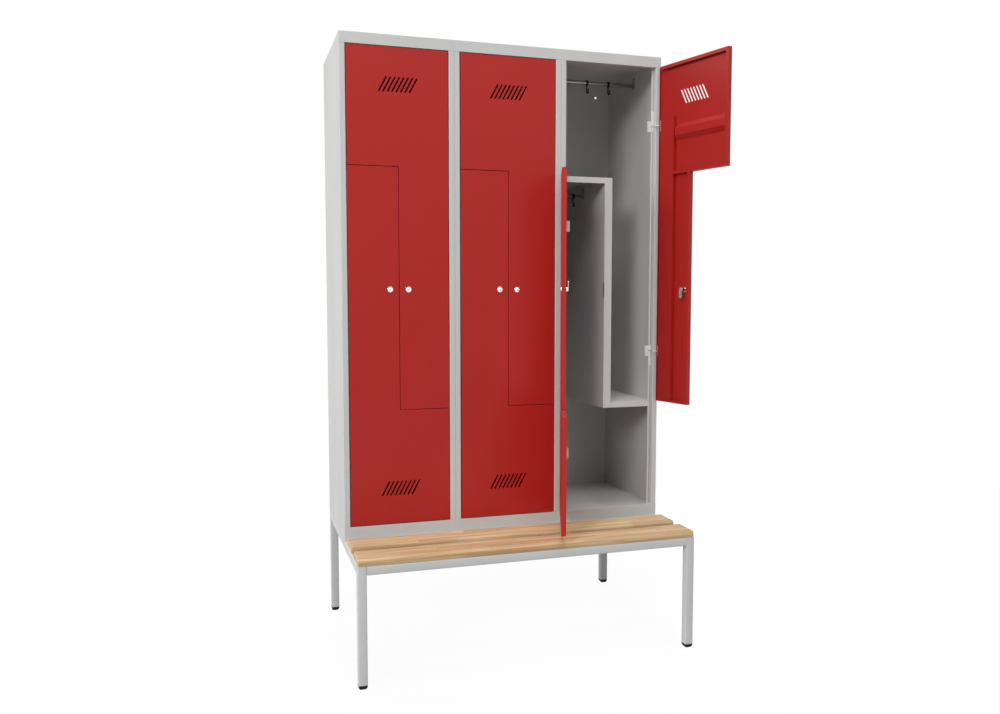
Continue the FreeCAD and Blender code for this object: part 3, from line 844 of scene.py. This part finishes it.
def add_stem(shape, top):
    ring = bmesh.ops.create_circle(
        shape, cap_ends=True, segments=STEM_SIDES, radius=STEM_R, matrix=Matrix.Translation(top)
    )
    face = ring["verts"][0].link_faces[0]
    face = pull(shape, face, Vector((0, 0, -STEM_DROP)))
    spun = bmesh.ops.spin(
        shape,
        geom=[face, *face.edges, *face.verts],
        cent=face.calc_center_median() - Vector((0, BEND_R, 0)),
        axis=-X_WAY,
        angle=math.pi,
        steps=BEND_STEPS,
        use_merge=False,
    )
    end = [g for g in spun["geom_last"] if isinstance(g, bmesh.types.BMFace)][0]
    if face.is_valid:
        bmesh.ops.delete(shape, geom=[face], context="FACES_ONLY")
    for rise, scale in TIP_STEPS:
        end = pull(shape, end, Vector((0, 0, rise * MM)), scale)
    close_holes(shape)


print("hook eye", round(EYE_OUT * 2000, 1), "mm wide, stem", round(STEM_R * 2000, 1), "mm")

# %% Hang the hooks
for n in range(1, BAYS + 1):
    for spot in ("upper_1", "upper_2", "lower"):
        node = "hook_%d_%s" % (n, spot)
        low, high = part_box(node)
        rail = Vector(((low.x + high.x) / 2, high.y - EYE_OUT, high.z - EYE_OUT))
        hook = bmesh.new()
        add_eye(hook, rail)
        add_stem(hook, rail - Vector((0, 0, EYE_OUT - STEM_SUNK)))
        made = finish_piece(
            "coat_" + node, hook, [black_plastic], node, [node]
        )
print("nine hooks of", len(made.data.polygons), "faces")

# %% [markdown]
# ## Locks
# A cylinder lock has a turned head on the door's outside, a threaded barrel with a hexagon nut
# inside, and a plug that turns with the key and carries the cam. Turned pieces could be stacked
# from cylinders, but a half outline spun once round the axis gives every step and rounding at one
# go. All are shaped on an axis along Y and then put where the lock's joint is.

# %% Lock shapes
HEAD = (
    (5.1, 0.6), (5.1, -2.1), (5.5, -2.5), (8.6, -2.5), (9.5, -2.1), (10.0, -1.3), (10.0, 0.0),
    (8.4, 0.0), (8.4, 22.5), (5.1, 22.5),
)
PLUG = ((0.0, -3.0), (4.3, -3.0), (4.9, -2.6), (5.0, -2.2), (5.0, 23.0), (0.0, 23.0))
LOCK_STEPS = 48
NUT_R = 12.7 * MM
NUT_FROM = 1.0 * MM
NUT_T = 5.0 * MM
NUT_BREAK = 0.5 * MM
CAM_LOW = Vector((-7.0, 23.0, -31.0)) * MM
CAM_HIGH = Vector((7.0, 25.5, 7.0)) * MM
CAM_CORNER = 5 * MM
KEY_LOW = Vector((-0.7, -3.1, -3.0)) * MM
KEY_HIGH = Vector((0.7, -2.4, 3.0)) * MM
Y_WAY = Vector((0, 1, 0))
ON_Y = Matrix.Rotation(-math.pi / 2, 4, "X")
PLUG_FINISHES = [lock_chrome, keyway_dark, cam_steel]


def spin_outline(shape, outline, closed):
    verts = [shape.verts.new(Vector((r, y, 0)) * MM) for r, y in outline]
    count = len(verts) if closed else len(verts) - 1
    loop = [shape.edges.new((verts[i], verts[(i + 1) % len(verts)])) for i in range(count)]
    bmesh.ops.spin(
        shape,
        geom=verts + loop,
        cent=Vector(),
        axis=Y_WAY,
        angle=2 * math.pi,
        steps=LOCK_STEPS,
        use_merge=True,
    )
    bmesh.ops.remove_doubles(shape, verts=shape.verts, dist=MERGE)


def give_finish(verts, finish):
    for face in {f for v in verts for f in v.link_faces}:
        face.material_index = PLUG_FINISHES.index(finish)


def to_joint(joint):
    """The turn and place that bring a lock from the Y axis to its joint."""
    x, y, _ = joint["axis"]
    return Matrix.Translation(joint["pos_m"]) @ Matrix.Rotation(math.atan2(-x, y), 4, "Z")


print("lock head of", len(HEAD), "corners, plug of", len(PLUG))

# %% Fit the locks
locks = [joint for joint in frame["joints"] if joint["name"].endswith("_lock")]
for joint in locks:
    door, cam_body = joint["parent"], joint["child"]
    where = to_joint(joint)
    housing = bmesh.new()
    spin_outline(housing, HEAD, True)
    nut = bmesh.ops.create_cone(
        housing,
        cap_ends=True,
        segments=6,
        radius1=NUT_R,
        radius2=NUT_R,
        depth=NUT_T,
        matrix=Matrix.Translation((0, NUT_FROM + NUT_T / 2, 0)) @ ON_Y,
    )
    round_edges(housing, edges_of(nut["verts"]), NUT_BREAK, segments=2)
    bmesh.ops.transform(housing, verts=housing.verts, matrix=where)
    finish_piece(
        door + "_lock_head", housing, [lock_chrome], door, [door + "_lock"]
    )

    plug = bmesh.new()
    spin_outline(plug, PLUG, False)
    cam = add_block(plug, CAM_LOW, CAM_HIGH)
    give_finish(cam, cam_steel)
    round_edges(plug, [e for e in edges_of(cam) if runs_along(e, Y)], CAM_CORNER, segments=5)
    key = add_block(plug, KEY_LOW, KEY_HIGH)
    give_finish(key, keyway_dark)
    upright = Matrix.Rotation(math.pi if door.endswith("lower") else 0, 4, "Y")
    bmesh.ops.transform(plug, verts=plug.verts, matrix=where @ upright)
    finish_piece(
        door + "_lock_plug", plug, PLUG_FINISHES, cam_body, [cam_body]
    )
print(len(locks), "locks")

# %% [markdown]
# ## Floor and backdrop
# The locker stands on a plain white ground without an edge. Strong light could wash the ground
# out, but it would wash out the locker too. So the floor glows white to the camera and in
# reflections, with enough of a plain matt surface mixed in to keep a soft shadow under the bench.
# The world does the same, and lights the object only dimly.

# %% Make the floor
FLOOR_HALF = 30
LIT_FLOOR = (0.85, 0.85, 0.84, 1.0)
BOUNCE = (0.40, 0.40, 0.40, 1.0)
GLOW_SHARE = {"From Min": 0.8, "From Max": 4.0, "To Min": 0.94, "To Max": 1.0}
white, tree, shader = new_material("studio_white")
shader.inputs["Roughness"].default_value = 0.9
shader.inputs["Specular IOR Level"].default_value = 0.1
glow = place(tree, "ShaderNodeEmission", {"Color": (1, 1, 1, 1), "Strength": 1.0})
ray = place(tree, "ShaderNodeLightPath")
seen = place(tree, "ShaderNodeMath", operation="MAXIMUM")
coords = place(tree, "ShaderNodeTexCoord")
reach = place(tree, "ShaderNodeVectorMath", operation="LENGTH")
fade = place(tree, "ShaderNodeMapRange", GLOW_SHARE)
share = place(tree, "ShaderNodeMath", operation="MULTIPLY")
mix = place(tree, "ShaderNodeMixShader")
wire(
    tree,
    (ray.outputs["Is Camera Ray"], seen.inputs[0]),
    (ray.outputs["Is Glossy Ray"], seen.inputs[1]),
    (coords.outputs["Object"], reach.inputs[0]),
    (reach.outputs["Value"], fade.inputs["Value"]),
    (seen.outputs["Value"], share.inputs[0]),
    (fade.outputs["Result"], share.inputs[1]),
    (share.outputs["Value"], mix.inputs["Fac"]),
    (shader.outputs["BSDF"], mix.inputs[1]),
    (glow.outputs["Emission"], mix.inputs[2]),
    (mix.outputs["Shader"], tree.nodes["Material Output"].inputs["Surface"]),
    (blend_colour(tree, seen.outputs["Value"], BOUNCE, LIT_FLOOR), shader.inputs["Base Color"]),
)
ground = bmesh.new()
bmesh.ops.create_grid(ground, x_segments=1, y_segments=1, size=FLOOR_HALF)
ground_mesh = bpy.data.meshes.new("floor")
ground.to_mesh(ground_mesh)
ground.free()
ground_mesh.materials.append(white)
floor = bpy.data.objects.new("floor", ground_mesh)
bpy.context.scene.collection.objects.link(floor)
print("floor", 2 * FLOOR_HALF, "m wide")

# %% Make the backdrop
AMBIENT = 0.03
world = bpy.data.worlds.new("studio")
world.use_nodes = True
bpy.context.scene.world = world
tree = world.node_tree
back = tree.nodes["Background"]
back.inputs["Color"].default_value = (1, 1, 1, 1)
ray = place(tree, "ShaderNodeLightPath")
seen = place(tree, "ShaderNodeMath", operation="MAXIMUM")
mirrored = place(tree, "ShaderNodeMath", operation="MAXIMUM")
level = place(tree, "ShaderNodeMapRange", {"To Min": AMBIENT, "To Max": 1.0})
wire(
    tree,
    (ray.outputs["Is Camera Ray"], seen.inputs[0]),
    (ray.outputs["Is Transmission Ray"], seen.inputs[1]),
    (seen.outputs["Value"], mirrored.inputs[0]),
    (ray.outputs["Is Glossy Ray"], mirrored.inputs[1]),
    (mirrored.outputs["Value"], level.inputs["Value"]),
    (level.outputs["Result"], back.inputs["Strength"]),
)
print("backdrop with ambient light", AMBIENT)


# %% [markdown]
# ## Light
# Large soft lamps stand all round, far enough away to light the locker evenly. One big lamp would
# be simpler, but the open bay would be black. A lamp at level 1 would show a matt surface that
# faces it in just its own colour, so the levels add up to about 1 on the front. The two left lamps
# make the left side the brightest, and one of them shines under the locker to the rear legs. The
# key lamp reaches into the open bay and leaves its upper corner in shade, and the three high ones
# light shelves, floor and seat. The last three are for the right side and the back.


# %% Place the lamps
LAMP_AWAY = 12.0
LAMP_SIZE = 3.2
LIT = DATUM + Vector((0, 0.2, 1.2))


def lamp(name, turn_left, rise, level):
    """A square lamp, so many degrees left of the locker's front and above level."""
    light = bpy.data.lights.new(name, "AREA")
    light.shape = "SQUARE"
    light.size = LAMP_SIZE
    light.energy = level * (math.pi * LAMP_AWAY) ** 2
    holder = bpy.data.objects.new(name, light)
    a, b = math.radians(turn_left), math.radians(rise)
    way = Vector((-math.sin(a) * math.cos(b), -math.cos(a) * math.cos(b), math.sin(b)))
    holder.location = LIT + way * LAMP_AWAY
    holder.rotation_euler = way.to_track_quat("Z", "Y").to_euler()
    bpy.context.scene.collection.objects.link(holder)
    print(name, "level", level)


lamp("left_lamp", turn_left=78, rise=13, level=0.26)
lamp("left_back_lamp", turn_left=118, rise=10, level=0.13)
lamp("key_lamp", turn_left=43, rise=24, level=0.37)
lamp("high_lamp", turn_left=30, rise=50, level=0.18)
lamp("front_lamp", turn_left=0, rise=50, level=0.18)
lamp("top_lamp", turn_left=0, rise=80, level=0.27)
lamp("right_lamp", turn_left=-30, rise=25, level=0.05)
lamp("far_right_lamp", turn_left=-105, rise=20, level=0.45)
lamp("back_lamp", turn_left=180, rise=35, level=0.50)
